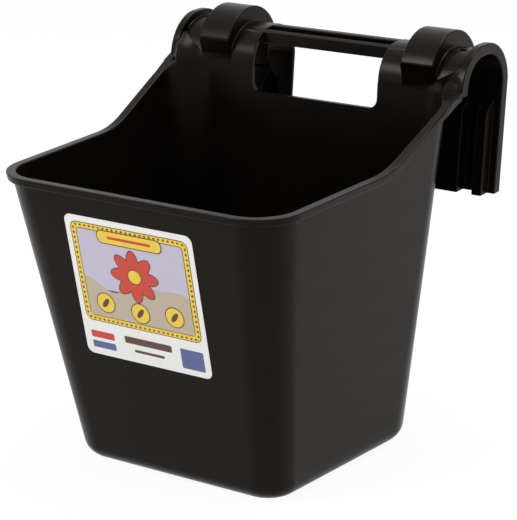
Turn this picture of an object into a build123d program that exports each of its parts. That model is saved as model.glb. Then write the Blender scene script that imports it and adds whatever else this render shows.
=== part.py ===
"""Hook-over feeder bucket for a fence board, in millimetres.

The feeder is one injection-moulded polyethylene bucket. Two inverted-U hooks grow out of the top of its
back wall, a hand grip joins the hooks above an open hand hole, and a printed label is stuck on the front.
The moulding is divided where its forms meet, face to face: tub, left and right hook, and grip.

Frame: +Z up, the front of the bucket towards -Y, +X to the right seen from the front.
The sketches measure Y from the back wall's outside at the rim, and the finished pieces are then moved
so that the origin is on the floor, under the middle of the whole feeder's footprint.
"""

import os
from math import asin, cos, pi, radians, sin, tan

from build123d import *

# Tub: outside sizes of its wall, and the moulding's thicknesses
rim_height = 242.0
wall = 3.5
floor_thickness = 4.0
floor_round = 12.0
base_front_width = 191.0
base_back_width = 223.0
base_depth = 188.0
rim_front_width = 252.0
rim_back_width = 265.0
rim_depth = 254.0
back_lean = 18.6
base_corner_radius = 26.0
rim_corner_radius = 34.0
back_corner_radius = 34.0

# Rim: a turned-out band that runs level, then climbs to the hooks in a straight slope
rim_overhang = 4.0
rim_band = 6.0
rim_back_radius = 10.0
climb_start = 118.0
climb_bend_radius = 80.0
climb_angle = 24.0

# Hooks: an arch of two quarter rounds and a short level crown, then a leg down the fence's far side
arch_height = 280.0
slot_radius = 26.0
crown_flat = 6.0
strap = 3.5
lip_rise = 5.5
lip_width = 6.5
hook_inner_edge = 60.0
hook_outer_edge = 140.0
leg_bottom = 188.0
leg_lean = 11.5

# Hump: the raised hollow saddle on each arch, which fades into the front wall in a V
hump_inner_edge = 82.5
hump_width = 29.0
hump_radius = 39.0
hump_centre_rise = 4.0
hump_foot_rise = 8.0
hump_shoulder_rise = 20.0
hump_back_drop = 34.0

# Ribs on the leg's fence side, open behind, and the hole for a tie in the crown
rib_depth = 11.0
rib_top_drop = 14.0
rib_wall = 3.0
end_rib_width = 9.0
tie_hole = 5.0
tie_hole_across = 122.0
tie_hole_back = 27.0

# Hand hole in the back wall, and the grip above it, a channel open at the top
hand_hole_bottom = 260.0
hand_hole_radius = 8.0
grip_front = 16.0
grip_depth = 19.0
grip_bottom = 297.0
grip_wall = 4.0
trough_floor = 301.0
trough_round = 3.0

# Label on the front wall
label_width = 117.0
label_height = 120.0
label_radius = 6.0
label_thickness = 0.2
label_drop = 83.0
label_left = 4.5

# Places that follow from the sizes above
slot_front = back_lean * (arch_height / rim_height - 1)
front_centre = slot_front + slot_radius
back_centre = front_centre + crown_flat
strap_radius = slot_radius + strap
lip_radius = strap_radius + lip_rise
tub_front = -(rim_depth + rim_overhang)
hump_centre = ((front_centre + back_centre) / 2, arch_height + hump_centre_rise)
hook_back = max(back_centre + lip_radius, hump_centre[0] + hump_radius)
section_top = arch_height + 30.0
round_steps = 5
taper_steps = 10
wide = hook_outer_edge + 20.0
hump_outer_edge = hump_inner_edge + hump_width
end_rib_edge = hook_outer_edge - lip_width - end_rib_width


def at(height, base, rim):
    """A size at one height, when it runs straight from its base value to its rim value."""
    return base + (rim - base) * height / rim_height


def plan_outline(height, inset, back_radius):
    """The tub's outline at one height: a trapezium with rounded corners, drawn in by the inset."""
    front_half = at(height, base_front_width, rim_front_width) / 2 - inset
    back_half = at(height, base_back_width, rim_back_width) / 2 - inset
    front = at(height, -back_lean - base_depth, -rim_depth) + inset
    back = at(height, -back_lean, 0) - inset
    front_radius = at(height, base_corner_radius, rim_corner_radius) - inset
    with BuildSketch(Plane.XY.offset(height)) as outline:
        with BuildLine():
            Polyline(
                (-front_half, front), (front_half, front), (back_half, back), (-back_half, back), close=True
            )
        make_face()
        fillet(outline.vertices().group_by(Axis.Y)[0], front_radius)
        fillet(outline.vertices().group_by(Axis.Y)[-1], back_radius - inset)
    return outline.sketch


def wall_sections(floor, inset, rounding):
    """Outlines from a floor up past the rim: round the floor's edge, then up the straight taper.

    A tapered corner in one tall piece meshes into thousands of triangles, so the taper repeats at even heights.
    """
    outlines = []
    for step in range(round_steps + 1):
        angle = pi / 2 * step / round_steps
        height = floor + rounding * (1 - cos(angle))
        outlines.append(plan_outline(height, inset + rounding * (1 - sin(angle)), back_corner_radius))
    foot = floor + rounding
    for step in range(1, taper_steps + 1):
        height = foot + (section_top - foot) * step / taper_steps
        outlines.append(plan_outline(height, inset, back_corner_radius))
    return outlines


def under_rim(drop):
    """The side view below the rim's line, with the line lowered square to itself by a drop."""
    angle = radians(climb_angle)
    radius = climb_bend_radius + drop
    bend_start = (-climb_start, rim_height - drop)
    bend_end = (-climb_start + radius * sin(angle), rim_height + climb_bend_radius - radius * cos(angle))
    top = (front_centre, bend_end[1] + (front_centre - bend_end[0]) * tan(angle))
    front = tub_front - 20.0
    with BuildSketch(Plane.YZ) as profile:
        with BuildLine():
            Line((front, rim_height - drop), bend_start)
            TangentArc(bend_start, bend_end, tangent=(1, 0))
            Polyline(bend_end, top, (top[0], -1), (front, -1), (front, rim_height - drop))
        make_face()
    return profile.sketch


def rim_line_at(height):
    """Where the climbing rim's top line reaches a height, in the side view."""
    angle = radians(climb_angle)
    bend_end_y = -climb_start + climb_bend_radius * sin(angle)
    bend_end_z = rim_height + climb_bend_radius * (1 - cos(angle))
    return bend_end_y + (height - bend_end_z) / tan(angle)


def rim_line_height(y):
    """The height of the climbing rim's top line at a Y, in the side view."""
    return arch_height + (y - rim_line_at(arch_height)) * tan(radians(climb_angle))


def leg_line(offset, height):
    """The Y of a line down the leg: the offset is measured from the arch's back centre at the arch's foot."""
    return back_centre + offset - leg_lean * (arch_height - height) / (arch_height - leg_bottom)


def under_arch(radius):
    """The side view under one of the arch's lines, from the front foot over the crown and down the leg."""
    with BuildSketch(Plane.YZ) as profile:
        with BuildLine():
            RadiusArc((front_centre - radius, arch_height), (front_centre, arch_height + radius), radius)
            Line((front_centre, arch_height + radius), (back_centre, arch_height + radius))
            RadiusArc((back_centre, arch_height + radius), (back_centre + radius, arch_height), radius)
            Polyline(
                (back_centre + radius, arch_height),
                (leg_line(radius, leg_bottom), leg_bottom),
                (front_centre, leg_bottom),
                (front_centre, arch_height),
                (front_centre - radius, arch_height),
            )
        make_face()
    return profile.sketch


def under_hump(inset, across=0):
    """The side view under the hump's line, drawn in by an inset, on the plane at X = across."""
    radius = hump_radius - inset
    middle, level = hump_centre
    shoulder_angle = asin((hump_shoulder_rise - hump_centre_rise) / hump_radius)
    shoulder = (middle - radius * cos(shoulder_angle), level + radius * sin(shoulder_angle))
    crown = (middle, level + radius)
    back = (middle + radius, level)
    foot = front_centre - strap_radius + inset
    leg_foot = arch_height - hump_back_drop
    with BuildSketch(Plane.YZ.offset(across)) as profile:
        with BuildLine():
            Line((foot, arch_height + hump_foot_rise), shoulder)
            RadiusArc(shoulder, crown, radius)
            RadiusArc(crown, back, radius)
            Polyline(
                back,
                (leg_line(strap_radius - inset, leg_foot), leg_foot),
                (front_centre, leg_foot),
                (front_centre, arch_height),
                (foot, arch_height),
                (foot, arch_height + hump_foot_rise),
            )
        make_face()
    return profile.sketch


def rib_outline(inset, across):
    """The side view of a rib on the leg's fence side, drawn in by an inset, on the plane at X = across."""
    top = arch_height - rib_top_drop - inset
    face_top = top - rib_depth
    face = slot_radius - rib_depth + inset
    with BuildSketch(Plane.YZ.offset(across)) as profile:
        with BuildLine():
            Polyline(
                (leg_line(slot_radius + strap / 2, top), top),
                (leg_line(face, face_top), face_top),
                (leg_line(face, leg_bottom), leg_bottom),
                (leg_line(strap_radius + inset, leg_bottom), leg_bottom),
                (leg_line(strap_radius + inset, top), top),
                close=True,
            )
        make_face()
    return profile.sketch


# The rim as its own band, which is wider over the back corners, where the wall curves away under it
with BuildPart() as rim_body:
    loft(
        sections=[
            plan_outline(rim_height - 2 * rim_band, -rim_overhang, rim_back_radius),
            plan_outline(section_top, -rim_overhang, rim_back_radius),
        ],
        ruled=True,
    )
    extrude(under_rim(0), amount=wide, both=True, mode=Mode.INTERSECT)
    extrude(under_rim(rim_band), amount=wide, both=True, mode=Mode.SUBTRACT)
    # Nothing of the band stands out into the slot behind the wall
    with Locations((0, slot_front, 0)):
        Box(2 * wide, rim_depth, 4 * rim_height, align=(Align.CENTER, Align.MIN, Align.CENTER), mode=Mode.SUBTRACT)

# The space inside the tub
with BuildPart() as hollow:
    loft(sections=wall_sections(floor_thickness, wall, floor_round - wall), ruled=True)

with BuildPart() as tub:
    # The wall as a solid taper with its floor edge rounded, cut to the rim's line
    loft(sections=wall_sections(0, 0, floor_round), ruled=True)
    extrude(under_rim(0), amount=wide, both=True, mode=Mode.INTERSECT)
    add(rim_body.part)
    add(hollow.part, mode=Mode.SUBTRACT)
    # A level cut where the hooks begin, then the hand hole's lower part
    with Locations((0, 0, arch_height)):
        Box(2 * wide, 4 * rim_depth, 100, align=(Align.CENTER, Align.CENTER, Align.MIN), mode=Mode.SUBTRACT)
    with BuildSketch(Plane.XZ.offset(-20)):
        with Locations((0, hand_hole_bottom)):
            RectangleRounded(2 * hook_inner_edge, 100, hand_hole_radius, align=(Align.CENTER, Align.MIN))
    extrude(amount=40, mode=Mode.SUBTRACT)

# One hump, as a solid saddle with its shoulder rounded
with BuildPart() as hump:
    extrude(under_hump(0), amount=hump_outer_edge)
    extrude(under_hump(0), amount=hump_inner_edge, mode=Mode.SUBTRACT)

# The ribs on the leg's fence side: one under the hump, one at the outer end, each open behind
with BuildPart() as ribs:
    for inner, width in ((hump_inner_edge, hump_width), (end_rib_edge, end_rib_width)):
        extrude(rib_outline(0, inner), amount=width)
with BuildPart() as rib_hollows:
    for inner, width in ((hump_inner_edge, hump_width), (end_rib_edge, end_rib_width)):
        extrude(rib_outline(rib_wall, inner + rib_wall), amount=width - 2 * rib_wall)

# The lip: the rim's band carried up over the arch's outer end and down the leg
with BuildPart() as lip:
    extrude(under_arch(lip_radius), amount=hook_outer_edge)
    with BuildSketch(Plane.YZ):
        with BuildLine():
            Polyline(
                (rim_line_at(arch_height), arch_height),
                (front_centre - lip_radius + 1.0, rim_line_height(front_centre - lip_radius + 1.0)),
                (front_centre - lip_radius + 1.0, arch_height),
                close=True,
            )
        make_face()
    extrude(amount=hook_outer_edge)
    extrude(under_arch(slot_radius), amount=hook_outer_edge, mode=Mode.SUBTRACT)
    with Locations((0, 0, leg_bottom)):
        Box(
            2 * (hook_outer_edge - lip_width), 600, 300,
            align=(Align.CENTER, Align.CENTER, Align.MIN), mode=Mode.SUBTRACT,
        )

with BuildPart() as hook_right:
    # The strap, as one bent sheet with the hump on it, then the hollow under the hump
    extrude(under_arch(strap_radius), amount=hook_outer_edge)
    add(hump.part)
    extrude(under_arch(slot_radius), amount=hook_outer_edge, mode=Mode.SUBTRACT)
    hump_hollow = under_hump(strap, hump_inner_edge + strap)
    extrude(hump_hollow, amount=hump_width - 2 * strap, mode=Mode.SUBTRACT)
    add(ribs.part)
    add(rib_hollows.part, mode=Mode.SUBTRACT)
    add(lip.part)
    with Locations((0, 0, leg_bottom)):
        Box(
            2 * hook_inner_edge, 600, 300,
            align=(Align.CENTER, Align.CENTER, Align.MIN), mode=Mode.SUBTRACT,
        )
    with Locations((tie_hole_across, tie_hole_back, arch_height + strap_radius)):
        Hole(tie_hole / 2, depth=2 * strap)

with BuildPart() as hook_left:
    mirror(hook_right.part, about=Plane.YZ)

with BuildPart() as grip:
    extrude(under_arch(strap_radius), amount=hook_inner_edge, both=True)
    with BuildSketch(Plane.YZ):
        with Locations((grip_front, grip_bottom)):
            Rectangle(grip_depth, 60, align=(Align.MIN, Align.MIN))
    extrude(amount=hook_inner_edge, both=True, mode=Mode.INTERSECT)
    with BuildSketch(Plane.YZ):
        with Locations((grip_front + grip_wall, trough_floor)):
            RectangleRounded(
                grip_depth - 2 * grip_wall, 60, trough_round, align=(Align.MIN, Align.MIN)
            )
    extrude(amount=hook_inner_edge, both=True, mode=Mode.SUBTRACT)

# The label lies on the front wall, which leans out towards the rim
wall_slope = Vector(0, -(rim_depth - back_lean - base_depth), rim_height).normalized()
label_centre = Vector(-label_left, -rim_depth, rim_height) - wall_slope * label_drop
with BuildPart() as label:
    with BuildSketch(Plane(origin=label_centre, x_dir=(1, 0, 0), z_dir=Vector(1, 0, 0).cross(wall_slope))):
        RectangleRounded(label_width, label_height, label_radius)
    extrude(amount=label_thickness)

# The origin goes under the middle of the footprint, and each piece is written to its own file
os.makedirs("parts", exist_ok=True)
place = Location((0, -(tub_front + hook_back) / 2, 0))
pieces = {"tub": tub, "hook_left": hook_left, "hook_right": hook_right, "grip": grip, "label": label}
for name, piece in pieces.items():
    piece.part.label = name
    piece.part.locate(place)
    export_step(piece.part, f"parts/{name}.step")
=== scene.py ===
# %% [markdown]
# # Hook over feeder
# The packed CAD model is loaded first and stays fixed. Everything below adds looks to it, in metres and in
# the same frame, so a piece goes where the CAD says.

from math import cos, pi, radians, sin

import bmesh
import bpy
from mathutils import Matrix, Vector
from mathutils.bvhtree import BVHTree
from mathutils.geometry import intersect_point_line


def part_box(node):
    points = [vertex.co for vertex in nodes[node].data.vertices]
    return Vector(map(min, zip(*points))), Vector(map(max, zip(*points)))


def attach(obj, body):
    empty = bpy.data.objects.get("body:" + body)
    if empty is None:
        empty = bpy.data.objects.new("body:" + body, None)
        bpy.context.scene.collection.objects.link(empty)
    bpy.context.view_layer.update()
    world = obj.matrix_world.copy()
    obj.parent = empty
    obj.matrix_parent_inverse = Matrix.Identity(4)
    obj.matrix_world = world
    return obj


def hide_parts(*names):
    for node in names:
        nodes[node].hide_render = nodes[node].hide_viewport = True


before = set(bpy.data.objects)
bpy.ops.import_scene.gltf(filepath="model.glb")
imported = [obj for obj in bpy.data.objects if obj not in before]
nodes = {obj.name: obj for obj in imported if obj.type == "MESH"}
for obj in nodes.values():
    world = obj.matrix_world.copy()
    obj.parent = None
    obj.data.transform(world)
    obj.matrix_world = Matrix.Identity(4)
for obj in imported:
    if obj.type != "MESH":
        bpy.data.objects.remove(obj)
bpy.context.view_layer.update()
mm = 0.001

# %% [markdown]
# A product photograph is taken from well back with a long lens, which keeps the tub's taper honest. A
# camera can be aimed with a Track To constraint, but the photograph has a small roll, so the axes of the
# camera are worked out from three angles and written as a matrix.

# %% Camera at the photograph's angle
azimuth = radians(34.29)
elevation = radians(18.24)
roll = radians(-1.0)
place = Vector((0.9212, -1.3423, 0.6851))
photo_width = 517
focal_pixels = 2151.8

backwards = Vector((sin(azimuth) * cos(elevation), -cos(azimuth) * cos(elevation), sin(elevation)))
level_right = Vector((cos(azimuth), sin(azimuth), 0))
level_up = Vector((-sin(azimuth) * sin(elevation), cos(azimuth) * sin(elevation), cos(elevation)))
right = cos(roll) * level_right + sin(roll) * level_up
up = cos(roll) * level_up - sin(roll) * level_right

camera_data = bpy.data.cameras.new("photo_camera")
camera_data.sensor_fit = "HORIZONTAL"
camera_data.sensor_width = 36
camera_data.lens = camera_data.sensor_width * focal_pixels / photo_width
camera_data.clip_end = 50
camera = bpy.data.objects.new("photo_camera", camera_data)
camera.matrix_world = Matrix.Translation(place) @ Matrix((right, up, backwards)).transposed().to_4x4()
bpy.context.collection.objects.link(camera)
bpy.context.scene.camera = camera
bpy.context.scene.view_settings.view_transform = "Standard"
print("lens", round(camera_data.lens, 1), "mm")

# %% [markdown]
# Materials are written as expressions. One small class wraps a socket: an operator on it adds a Math node,
# and one method adds any other node. The reflected forms make 0.2 + mask work as well as mask + 0.2.


# %% Shader maths
class Flow:
    """A socket in a material, with operators that add Math nodes."""

    def __init__(self, tree, socket=None):
        self.tree = tree
        self.socket = socket

    def node(self, kind, inputs=None, out=0, **settings):
        made = self.tree.nodes.new(kind)
        for name, value in settings.items():
            setattr(made, name, value)
        for key, value in (inputs or {}).items():
            if isinstance(value, Flow):
                self.tree.links.new(value.socket, made.inputs[key])
            else:
                made.inputs[key].default_value = value
        return Flow(self.tree, made.outputs[out])

    def maths(self, operation, a, b):
        return self.node("ShaderNodeMath", {0: a, 1: b}, operation=operation)

    def __add__(self, other):
        return self.maths("ADD", self, other)

    def __radd__(self, other):
        return self.maths("ADD", other, self)

    def __mul__(self, other):
        return self.maths("MULTIPLY", self, other)

    def __rmul__(self, other):
        return self.maths("MULTIPLY", other, self)


print("operators in Flow", [name.strip("_") for name in vars(Flow) if name.endswith(("add__", "mul__"))])

# %% [markdown]
# The plastic and the inks start the same way: a Principled shader, and a colour that drifts between two near
# tones along a noise. Three short helpers make those. The noise is always given Object coordinates, which
# keep its scale in metres on every piece.


# %% Helpers for finishes
def new_material(name):
    material = bpy.data.materials.new(name)
    material.use_nodes = True
    tree = material.node_tree
    shader = tree.nodes["Principled BSDF"]
    return material, Flow(tree), shader


def noise(flow, place_on, scale, detail):
    return flow.node("ShaderNodeTexNoise", {"Vector": place_on, "Scale": scale, "Detail": detail})


def drift(flow, share, low_colour, high_colour):
    ends = {0: share, 6: (*low_colour, 1), 7: (*high_colour, 1)}
    return flow.node("ShaderNodeMix", ends, out=2, data_type="RGBA")


print("helpers", [helper.__name__ for helper in (new_material, noise, drift)])

# %% [markdown]
# Moulded polyethylene in near-black is never quite even: it has a fine orange-peel from the mould, soft
# patches that are a little duller, and a warm cast. Most of what the eye sees on it is reflection, so the
# base colour is very dark and the tint sits on the reflection. The peel could be real geometry, but it is far
# finer than any edge, so a weak bump shows it at no cost in triangles.

# %% Moulded plastic
patch_scale, scuff_scale, peel_scale = 14, 95, 420
plastic, flow, shader = new_material("near_black_polyethylene")
spot = flow.node("ShaderNodeTexCoord", out="Object")
patches = noise(flow, spot, patch_scale, 2)
peel = noise(flow, spot, peel_scale, 2)
scuffs = noise(flow, spot, scuff_scale, 5)
tone = drift(flow, patches, (0.0022, 0.0016, 0.0012), (0.0044, 0.0032, 0.0024))
roughness = 0.20 + 0.10 * patches + 0.07 * scuffs
bumped = flow.node("ShaderNodeBump", {"Strength": 0.08, "Distance": 0.2 * mm, "Height": peel})
shader.inputs["Specular IOR Level"].default_value = 0.12
shader.inputs["Specular Tint"].default_value = (1.0, 0.86, 0.74, 1)
for made, name in ((tone, "Base Color"), (roughness, "Roughness"), (bumped, "Normal")):
    flow.tree.links.new(made.socket, shader.inputs[name])
print("plastic nodes", len(plastic.node_tree.nodes))

# %% [markdown]
# The real feeder is one moulding, though the CAD names its parts as four solids that meet face to face.
# Left apart, their meeting faces would show as seams, so they are joined into one skin. A CAD node is never
# changed, and its mesh is loose triangles, so the work is done on merged copies.


# %% Copies to work on
weld = 0.002 * mm


def link_mesh(name, mesh):
    made = bpy.data.objects.new(name, mesh)
    bpy.context.collection.objects.link(made)
    return made


def merged_copy(name):
    mesh = nodes[name].data.copy()
    shell = bmesh.new()
    shell.from_mesh(mesh)
    bmesh.ops.remove_doubles(shell, verts=shell.verts, dist=weld)
    shell.to_mesh(mesh)
    shell.free()
    return link_mesh(name + "_copy", mesh)


def as_mesh(made, name):
    """The evaluated object as a plain mesh, without its modifiers."""
    settled = made.evaluated_get(bpy.context.evaluated_depsgraph_get())
    mesh = bpy.data.meshes.new_from_object(settled)
    made.modifiers.clear()
    made.data = mesh
    made.name = name
    mesh.name = name
    return made


moulded_nodes = ("tub", "hook_left", "hook_right", "grip")
moulding = merged_copy("tub")
others = [merged_copy(name) for name in moulded_nodes[1:]]
print("copies", moulding.name, [other.name for other in others])

# %% [markdown]
# On the real feeder the wall's round corner runs up over each hook and fades into the angle between its
# arch and its lip. The CAD stops the corner at the wall's top, which leaves a small flat ledge. A saddle
# will fill it. Its outline is read from the tub's own corner, so that the two meet without a step. Only the
# wall's inner face is wanted, and the outer one lies beyond a limit from the corner's middle. Three points
# inside the hook close the outline behind, where it doesn't show.

# %% The corner's outline
wall_top = 280 * mm
corner_across = (100 * mm, 127.6 * mm)
corner_back = (77 * mm, 93.05 * mm)
corner_middle = (101.2 * mm, 63.1 * mm)
inner_face_limit = 31.2 * mm
level_tolerance = 0.01 * mm
lip_side = (135.5 * mm, 86 * mm)
buried = (135.5 * mm, 94.8 * mm)


def corner_outline(tub_mesh, side):
    """The wall's inner corner at its top, as (across, back) points on one side."""
    corner = set()
    for point in tub_mesh.vertices:
        across, back = side * point.co.x, point.co.y
        at_top = abs(point.co.z - wall_top) < level_tolerance
        from_middle = (across - corner_middle[0]) ** 2 + (back - corner_middle[1]) ** 2
        in_span = corner_across[0] < across < corner_across[1] and corner_back[0] < back < corner_back[1]
        if at_top and in_span and from_middle < inner_face_limit ** 2:
            corner.add((across, back))
    outline = sorted(corner)
    return outline + [lip_side, buried, (outline[0][0], buried[1])]


corner_outlines = {side: corner_outline(moulding.data, side) for side in (-1, 1)}
print("outline points", [len(outline) for outline in corner_outlines.values()])

# %% [markdown]
# The outline is swept round the arch's axis while it shrinks. A sweep follows the arch by rule, where a
# sculpted patch would only be fitted by eye. The first ring is sunk into the wall, so that the union has
# material to join. The rest shrink slowly at both ends, so that the saddle leaves the wall without a crease
# and dies away to nothing.

# %% The saddle's rings
arch_axis = 122.5 * mm
saddle_reach = radians(62)
saddle_steps = 16
sunk_by, sunk_scale = 6 * mm, 0.93
rings = [{"drop": -sunk_by, "turn": 0.0, "scale": sunk_scale}]
for step in range(saddle_steps + 1):
    part = step / saddle_steps
    rings.append({"drop": 0.0, "turn": part * saddle_reach, "scale": 1 - part * part * (3 - 2 * part)})


def ring_point(side, across, back, drop, turn, scale):
    reach = arch_axis - buried[1] + (buried[1] - back) * scale
    return (
        side * (buried[0] + (across - buried[0]) * scale),
        arch_axis - reach * cos(turn),
        wall_top + drop + reach * sin(turn),
    )


print("rings", len(rings))

# %% [markdown]
# Neighbouring rings are joined by faces. The last ring has shrunk to one point, so its corners are merged,
# which closes the tip. Normals are worked out after that, because a closed shell tells its inside from its
# outside.


# %% The saddles
def saddle(side):
    """The wall's round corner, carried up over the arch and shrunk into the angle by the lip."""
    shell = bmesh.new()
    loops = []
    for ring in rings:
        loops.append([shell.verts.new(ring_point(side, *point, **ring)) for point in corner_outlines[side]])
    for low, high in zip(loops, loops[1:]):
        for i in range(len(low)):
            j = (i + 1) % len(low)
            shell.faces.new((low[i], low[j], high[j], high[i]))
    shell.faces.new(loops[0])
    bmesh.ops.remove_doubles(shell, verts=shell.verts, dist=weld)
    bmesh.ops.recalc_face_normals(shell, faces=shell.faces)
    bmesh.ops.triangulate(shell, faces=shell.faces)
    mesh = bpy.data.meshes.new("saddle")
    shell.to_mesh(mesh)
    shell.free()
    return link_mesh("saddle", mesh)


saddles = [saddle(side) for side in corner_outlines]
print("saddle corners", [len(piece.data.vertices) for piece in saddles])

# %% [markdown]
# A boolean union turns the copies and the saddles into one skin. Blender could also remesh them together,
# but that would round every edge and lose the ribs. Flat triangles are then joined, because slivers spoil
# a smooth surface's normals.

# %% One skin
skin_weld = 0.004 * mm
flat_angle = radians(0.15)
for other in others + saddles:
    union = moulding.modifiers.new("union", "BOOLEAN")
    union.operation = "UNION"
    union.solver = "EXACT"
    union.object = other
moulding = as_mesh(moulding, "moulding")
for other in others + saddles:
    bpy.data.objects.remove(other)

skin = bmesh.new()
skin.from_mesh(moulding.data)
bmesh.ops.remove_doubles(skin, verts=skin.verts, dist=skin_weld)
bmesh.ops.dissolve_degenerate(skin, edges=skin.edges, dist=weld)
bmesh.ops.dissolve_limit(skin, angle_limit=flat_angle, verts=skin.verts, edges=skin.edges)
open_edges = sum(1 for edge in skin.edges if not edge.is_manifold)
print("moulding litres", round(skin.calc_volume() * 1000, 3), "open edges", open_edges)

# %% [markdown]
# A mould's edges have a small radius, which catches the light as a thin line. A Bevel modifier makes it, on
# the sharp edges whose neighbours are long enough to give up the room. Each such edge gets a bevel weight,
# which is easier to correct edge by edge than an angle limit is.

# %% Which edges are rounded
edge_radius = 0.9 * mm
sharp_angle = radians(46)


def add_bevel(made):
    bevel = made.modifiers.new("edges", "BEVEL")
    bevel.width = edge_radius
    bevel.segments = 3
    bevel.limit_method = "WEIGHT"
    bevel.use_clamp_overlap = False


weight = skin.edges.layers.float.new("bevel_weight_edge")
for edge in skin.edges:
    shortest = min(near.calc_length() for corner in edge.verts for near in corner.link_edges)
    sharp = edge.is_manifold and edge.calc_face_angle() > sharp_angle
    edge[weight] = float(sharp and shortest > 2 * edge_radius)
skin.to_mesh(moulding.data)
print("edges to round", sum(1 for edge in skin.edges if edge[weight]))

# %% [markdown]
# Where edges meet at odd angles a bevel can still shoot out of the surface. Clamping it would shrink every
# radius on the piece. So it is tried once on a copy, each point that strayed is found by its distance from
# the sharp skin, and the edges beside it are left sharp too.

# %% More edges that stay sharp
stray_distance = 0.6 * edge_radius
stray_reach = 6 * mm


def beside(edge, point):
    start, end = (corner.co for corner in edge.verts)
    along = intersect_point_line(point, start, end)[1]
    return (start.lerp(end, min(max(along, 0), 1)) - point).length < stray_reach


def from_skin(point):
    return sharp_skin.find_nearest(point.co)[3]


trial = link_mesh("trial", moulding.data.copy())
add_bevel(trial)
trial = as_mesh(trial, "trial")
sharp_skin = BVHTree.FromBMesh(skin)
strays = [point.co for point in trial.data.vertices if from_skin(point) > stray_distance]
for edge in skin.edges:
    if any(beside(edge, stray) for stray in strays):
        edge[weight] = 0.0
skin.to_mesh(moulding.data)
print("stray points", len(strays), "edges rounded", sum(1 for edge in skin.edges if edge[weight]))
bpy.data.objects.remove(trial)
skin.free()

# %% [markdown]
# The moulding is shaded smooth, apart from its sharp edges. Its normals are weighted by each face's area, so
# that thin leftovers don't streak the gloss. The finished piece stands for all four nodes.

# %% The finished moulding
for polygon in moulding.data.polygons:
    polygon.use_smooth = True
moulding.data.set_sharp_from_angle(angle=sharp_angle)
add_bevel(moulding)
weighted = moulding.modifiers.new("weighted", "WEIGHTED_NORMAL")
weighted.mode = "FACE_AREA_WITH_ANGLE"
weighted.keep_sharp = True
moulding = as_mesh(moulding, "moulding")
moulding.data.materials.clear()
moulding.data.materials.append(plastic)
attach(moulding, "root")
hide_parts(*moulded_nodes)
furthest = max(from_skin(point) for point in moulding.data.vertices)
print("moulding faces", len(moulding.data.polygons), "furthest from the skin", round(furthest / mm, 2), "mm")

# %% [markdown]
# The label is printed film on the sloping front wall. Its print is built as thin layers of ink over the CAD
# label, because crisp printed edges are easier to draw as shapes than to paint in a shader. They are drawn
# flat, in millimetres from the label's middle, so a matrix is needed that lays them on its face.

# %% The label's own plane
label = nodes["label"]
facing = Vector()
for polygon in label.data.polygons:
    if polygon.normal.y < -0.5:
        facing += polygon.normal * polygon.area
facing.normalize()
label_up = Vector((0, facing.z, -facing.y))
low, high = (Vector(corner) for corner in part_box("label"))
label_centre = (low + high) / 2
front_offset = max((vertex.co - label_centre).dot(facing) for vertex in label.data.vertices)
on_label = Matrix((Vector((1, 0, 0)), label_up, facing)).transposed().to_4x4()
on_label = Matrix.Translation(label_centre + facing * front_offset) @ on_label
print("label faces", [round(value, 3) for value in facing], "centre", [round(v, 4) for v in label_centre])

# %% [markdown]
# Ink on film is a flat colour with a slight mottle, and a little duller than the moulding round it. One
# function gives every ink the same behaviour, and the white film under them is treated as an ink too.

# %% Printed inks
mottle_scale = 900
thin_ink = 0.90
ink_roughness, roughness_drift = 0.34, 0.06


def ink(name, colour):
    """Printed colour with the slight mottle of ink on film."""
    material, flow, shader = new_material(name)
    spot = flow.node("ShaderNodeTexCoord", out="Object")
    mottle = noise(flow, spot, mottle_scale, 2)
    tone = drift(flow, mottle, tuple(channel * thin_ink for channel in colour), colour)
    roughness = ink_roughness + roughness_drift * mottle
    flow.tree.links.new(tone.socket, shader.inputs["Base Color"])
    flow.tree.links.new(roughness.socket, shader.inputs["Roughness"])
    return material


stock = ink("label_stock", (0.88, 0.88, 0.86))
yellow = ink("yellow_ink", (0.87, 0.62, 0.04))
lilac = ink("lilac_ink", (0.56, 0.52, 0.66))
tan = ink("tan_ink", (0.52, 0.44, 0.34))
red = ink("red_ink", (0.62, 0.045, 0.02))
brown = ink("brown_ink", (0.10, 0.035, 0.02))
blue = ink("blue_ink", (0.09, 0.12, 0.30))
label.data.materials.clear()
label.data.materials.append(stock)
print("inks", [material.name for material in (yellow, lilac, tan, red, brown, blue)])

# %% [markdown]
# Most of the print is made of two outlines, a box with round corners and an oval that can be turned. Both
# are lists of points, in millimetres on the label. Curve objects would give smoother rounds, but a few
# straight steps are finer than the print can show.

# %% Two outlines
corner_steps, oval_steps = 6, 36


def rounded_box(x0, y0, x1, y1, radius):
    corners = ((x1, y1, 0), (x0, y1, 90), (x0, y0, 180), (x1, y0, 270))
    points = []
    for x, y, start in corners:
        centre_x = x - radius if x == x1 else x + radius
        centre_y = y - radius if y == y1 else y + radius
        for step in range(corner_steps + 1):
            angle = radians(start + 90 * step / corner_steps)
            points.append((centre_x + radius * cos(angle), centre_y + radius * sin(angle)))
    return points


def oval(x, y, across, tall, turn=0.0):
    points = []
    for step in range(oval_steps):
        angle = 2 * pi * step / oval_steps
        dx, dy = across / 2 * cos(angle), tall / 2 * sin(angle)
        points.append((x + dx * cos(turn) - dy * sin(turn), y + dx * sin(turn) + dy * cos(turn)))
    return points


print("points", len(rounded_box(-2, -1, 2, 1, 0.5)), "and", len(oval(0, 0, 2, 1)))

# %% [markdown]
# An outline becomes one flat face on the label. A layer number lifts it a little off the one below, because
# two faces at one height would flicker.

# %% Shapes laid on the label
layer_step = 0.03 * mm
prints = []


def printed(name, shapes, material, layer):
    mesh = bpy.data.meshes.new(name)
    faces = bmesh.new()
    for outline in shapes:
        corners = [faces.verts.new((x * mm, y * mm, layer * layer_step)) for x, y in outline]
        faces.faces.new(corners)
    bmesh.ops.triangulate(faces, faces=faces.faces)
    faces.to_mesh(mesh)
    faces.free()
    mesh.transform(on_label)
    mesh.materials.append(material)
    prints.append(link_mesh(name, mesh))


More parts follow.
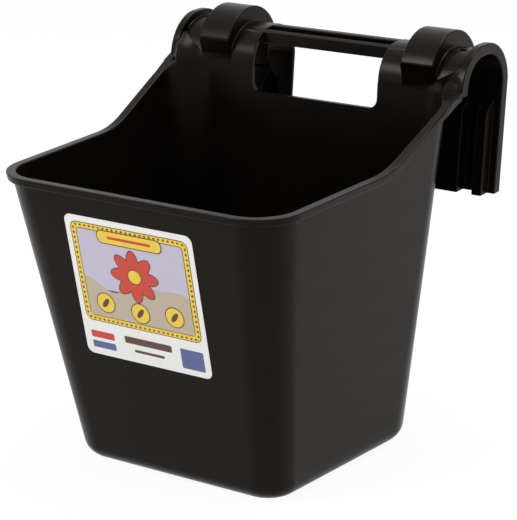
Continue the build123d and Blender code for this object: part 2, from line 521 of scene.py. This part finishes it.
print("layers", round(layer_step / mm, 3), "mm apart")

# %% [markdown]
# The design is a plain one of its own: a patterned border, two fields, a rosette and three discs. The border
# and the fields come first. They lie on slightly larger brown shapes, which show round them as thin lines.

# %% Border and fields
border = (-54, -30, 54, 55)
field = (-49, -25, 49, 50)
border_line, field_line = 0.7, 0.6
horizon = 6
hill_steps = 24


def inset(box, by):
    return box[0] + by, box[1] + by, box[2] - by, box[3] - by


left, bottom, right_edge, top = inset(field, field_line)
hills = [(left, bottom), (right_edge, bottom)]
for step in range(hill_steps + 1):
    x = right_edge - (right_edge - left) * step / hill_steps
    hills.append((x, horizon + 5 * sin(x / 14) + 2.5 * cos(x / 7)))
printed("border_line", [rounded_box(*border, 6)], brown, 1)
printed("border_band", [rounded_box(*inset(border, border_line), 5.3)], yellow, 2)
printed("field_line", [rounded_box(*field, 3)], brown, 3)
printed("upper_field", [rounded_box(left, horizon - 6, right_edge, top, 2.4)], lilac, 4)
printed("lower_field", [hills], tan, 5)
print("border and fields", len(prints))

# %% [markdown]
# The rosette is a ring of petals round a heart. Neighbouring petals overlap, so each one is lifted by a
# fraction of a layer more than the last.

# %% Rosette
petals = 8
petal_reach, petal_length, petal_width, petal_line = 11.5, 20.0, 10.0, 1.6
petal_lift = 0.08
rosette = (0, 16)
for name, grow, material, layer in (("petal_lines", petal_line, brown, 6), ("petals", 0.0, red, 7)):
    for index in range(petals):
        angle = 2 * pi * index / petals
        x, y = rosette[0] + petal_reach * cos(angle), rosette[1] + petal_reach * sin(angle)
        petal = oval(x, y, petal_length + grow, petal_width + grow, turn=angle)
        printed(f"{name}_{index}", [petal], material, layer + petal_lift * index)
printed("rosette_heart_line", [oval(*rosette, 13, 13)], brown, 8)
printed("rosette_heart", [oval(*rosette, 11.4, 11.4)], yellow, 9)
print("printed shapes", len(prints))

# %% [markdown]
# Three discs with a leaf each, a striped band above and plain bars below complete the design. They keep to
# the same two outlines and the same inks, so that the whole reads as one print.

# %% Discs, title band and foot
discs = ((-32, -12), (0, -15), (32, -12))
title_band = (-30, 40, 30, 51.5)
title_line = 0.8
printed("disc_lines", [oval(x, y, 17.6, 17.6) for x, y in discs], brown, 8)
printed("discs", [oval(x, y, 16, 16) for x, y in discs], yellow, 9)
printed("leaves", [oval(x, y, 10, 4.2, turn=0.9) for x, y in discs], brown, 10)
printed("title_band_line", [rounded_box(*title_band, 5)], brown, 9)
printed("title_band", [rounded_box(*inset(title_band, title_line), 4.4)], yellow, 10)
printed("title_stripe", [rounded_box(-20, 44.6, 20, 46.9, 1.1)], red, 11)
for name, box, material in (
    ("foot_bar_red", (-52, -45, -30, -39), red),
    ("foot_bar_blue", (-52, -54, -30, -48), blue),
    ("foot_bar_long", (-20, -44, 24, -38), brown),
    ("foot_bar_short", (-12, -51, 16, -48.6), brown),
    ("foot_panel", (32, -55, 53, -38), blue),
):
    printed(name, [rounded_box(*box, 1)], material, 1)
print("printed shapes", len(prints))

# %% [markdown]
# The border's lozenges all follow one rounded rectangle. They could be placed in a loop, but Geometry Nodes
# keeps the count, size and path as named inputs. First come those inputs.

# %% The lozenges' inputs
tree = bpy.data.node_groups.new("border_lozenges", "GeometryNodeTree")
tree.interface.new_socket("Geometry", in_out="OUTPUT", socket_type="NodeSocketGeometry")
sockets = {}
for name, kind, value in (
    ("Path Width", "NodeSocketFloat", 103.0 * mm),
    ("Path Height", "NodeSocketFloat", 80.0 * mm),
    ("Corner Radius", "NodeSocketFloat", 4.2 * mm),
    ("Lozenge", "NodeSocketFloat", 1.25 * mm),
    ("Count", "NodeSocketInt", 84),
    ("Ink", "NodeSocketMaterial", brown),
):
    socket = tree.interface.new_socket(name, in_out="INPUT", socket_type=kind)
    sockets[socket.identifier] = value
print("inputs", len(sockets))

# %% [markdown]
# A rectangle is rounded, divided evenly, and carries a four-cornered dot at each point. The tree ends in
# Realize Instances and Set Material, because the export drops instances.


# %% The lozenges' tree
def add(kind, **settings):
    made = tree.nodes.new(kind)
    for name, value in settings.items():
        setattr(made, name, value)
    return made


given = add("NodeGroupInput")
path = add("GeometryNodeCurvePrimitiveQuadrilateral")
turned = add("GeometryNodeFilletCurve", mode="POLY")
turned.inputs["Count"].default_value = 6
spaced = add("GeometryNodeResampleCurve", mode="COUNT")
dot = add("GeometryNodeMeshCircle", fill_type="NGON")
dot.inputs["Vertices"].default_value = 4
copies = add("GeometryNodeInstanceOnPoints")
real = add("GeometryNodeRealizeInstances")
coloured = add("GeometryNodeSetMaterial")
result = add("NodeGroupOutput")
for start, end in (
    (given.outputs["Path Width"], path.inputs["Width"]),
    (given.outputs["Path Height"], path.inputs["Height"]),
    (path.outputs[0], turned.inputs["Curve"]),
    (given.outputs["Corner Radius"], turned.inputs["Radius"]),
    (turned.outputs[0], spaced.inputs["Curve"]),
    (given.outputs["Count"], spaced.inputs["Count"]),
    (spaced.outputs[0], copies.inputs["Points"]),
    (given.outputs["Lozenge"], dot.inputs["Radius"]),
    (dot.outputs[0], copies.inputs["Instance"]),
    (copies.outputs[0], real.inputs[0]),
    (real.outputs[0], coloured.inputs["Geometry"]),
    (given.outputs["Ink"], coloured.inputs["Material"]),
    (coloured.outputs[0], result.inputs[0]),
):
    tree.links.new(start, end)
print("lozenge nodes", len(tree.nodes))

# %% [markdown]
# A modifier's inputs are set by their identifiers before it is first evaluated. Its result becomes a plain
# mesh, which is laid on the label between the third and fourth layers.

# %% The lozenges on the label
carrier = link_mesh("border_lozenges", bpy.data.meshes.new("border_lozenges"))
modifier = carrier.modifiers.new("lozenges", "NODES")
modifier.node_group = tree
for identifier, value in sockets.items():
    modifier[identifier] = value
lozenges = as_mesh(carrier, "border_lozenges")
border_middle = Vector((0, (border[1] + border[3]) / 2 * mm, 3.2 * layer_step))
lozenges.data.transform(on_label @ Matrix.Translation(border_middle))
prints.append(lozenges)
print("lozenge faces", len(lozenges.data.polygons))

# %% [markdown]
# The print is part of the label, which never leaves the feeder. So every printed piece rides on the one body.

# %% The print rides on the body
for piece in prints:
    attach(piece, "root")
print("printed pieces", len(prints))

# %% [markdown]
# The photograph has a plain white ground. To the camera, and in gloss and glass, the floor and the world are
# white. As diffuse light on the object the world is only a dim, even sky. Brighter lamps could whiten the
# ground too, but they would wash out the feeder, so Light Path tells the rays apart instead.


# %% Rays that see the ground
def ground_rays(flow):
    """1 for a ray from the camera, in gloss or through glass, and 0 for any other."""
    path = flow.node("ShaderNodeLightPath", out="Is Camera Ray")
    outputs = path.socket.node.outputs
    return path + Flow(flow.tree, outputs["Is Glossy Ray"]) + Flow(flow.tree, outputs["Is Transmission Ray"])


sky_strength = 0.38
world = bpy.data.worlds.new("studio")
bpy.context.scene.world = world
world.use_nodes = True
flow = Flow(world.node_tree)
strength = sky_strength + (1 - sky_strength) * ground_rays(flow)
background = world.node_tree.nodes["Background"]
background.inputs["Color"].default_value = (1, 1, 1, 1)
world.node_tree.links.new(strength.socket, background.inputs["Strength"])
print("sky strength", sky_strength)

# %% [markdown]
# The floor is a large pale disc, a hair below the feeder. A tenth of it stays an ordinary surface to those
# rays, so that it still takes the feeder's shadow.

# %% Floor
floor_radius = 6.0
floor_depth = 0.0002
ground_share, ground_glow = 0.9, 1.03
floor_mesh = bpy.data.meshes.new("floor")
ground = bmesh.new()
bmesh.ops.create_circle(ground, cap_ends=True, segments=96, radius=floor_radius)
bmesh.ops.translate(ground, verts=ground.verts, vec=(0, 0, -floor_depth))
ground.to_mesh(floor_mesh)
ground.free()
floor = link_mesh("floor", floor_mesh)
paper, flow, shader = new_material("pale_floor")
shader.inputs["Base Color"].default_value = (0.95, 0.95, 0.95, 1)
shader.inputs["Roughness"].default_value = 0.9
glow = flow.node("ShaderNodeEmission", {"Color": (1, 1, 1, 1), "Strength": ground_glow})
surface = Flow(flow.tree, shader.outputs[0])
seen = ground_share * ground_rays(flow)
blended = flow.node("ShaderNodeMixShader", {0: seen, 1: surface, 2: glow})
flow.tree.links.new(blended.socket, flow.tree.nodes["Material Output"].inputs["Surface"])
floor_mesh.materials.append(paper)
print("floor", 2 * floor_radius, "m across")

# %% [markdown]
# A studio lights such a piece with large soft boxes: one in front on the left, one overhead and one on the
# right. Their size is what matters on gloss, since each shows as a wide, soft sheen. Area lamps do the same,
# at a plain level that leaves the colours as they are written.


# %% Lamps
def softbox(name, at, aim, size, watts):
    data = bpy.data.lights.new(name, "AREA")
    data.shape = "RECTANGLE"
    data.size, data.size_y = size
    data.energy = watts
    lamp = bpy.data.objects.new(name, data)
    lamp.location = at
    lamp.rotation_euler = (Vector(aim) - Vector(at)).to_track_quat("-Z", "Y").to_euler()
    bpy.context.collection.objects.link(lamp)


softbox("key_box", (-0.9, -1.6, 1.7), (0, 0, 0.15), (0.9, 0.7), 26)
softbox("top_box", (0.2, 0.5, 1.9), (0, 0, 0.2), (1.2, 0.8), 17)
softbox("side_box", (1.9, 0.2, 0.9), (0, 0, 0.2), (0.5, 1.0), 9)
print("lamps", len(bpy.data.lights))

# %% [markdown]
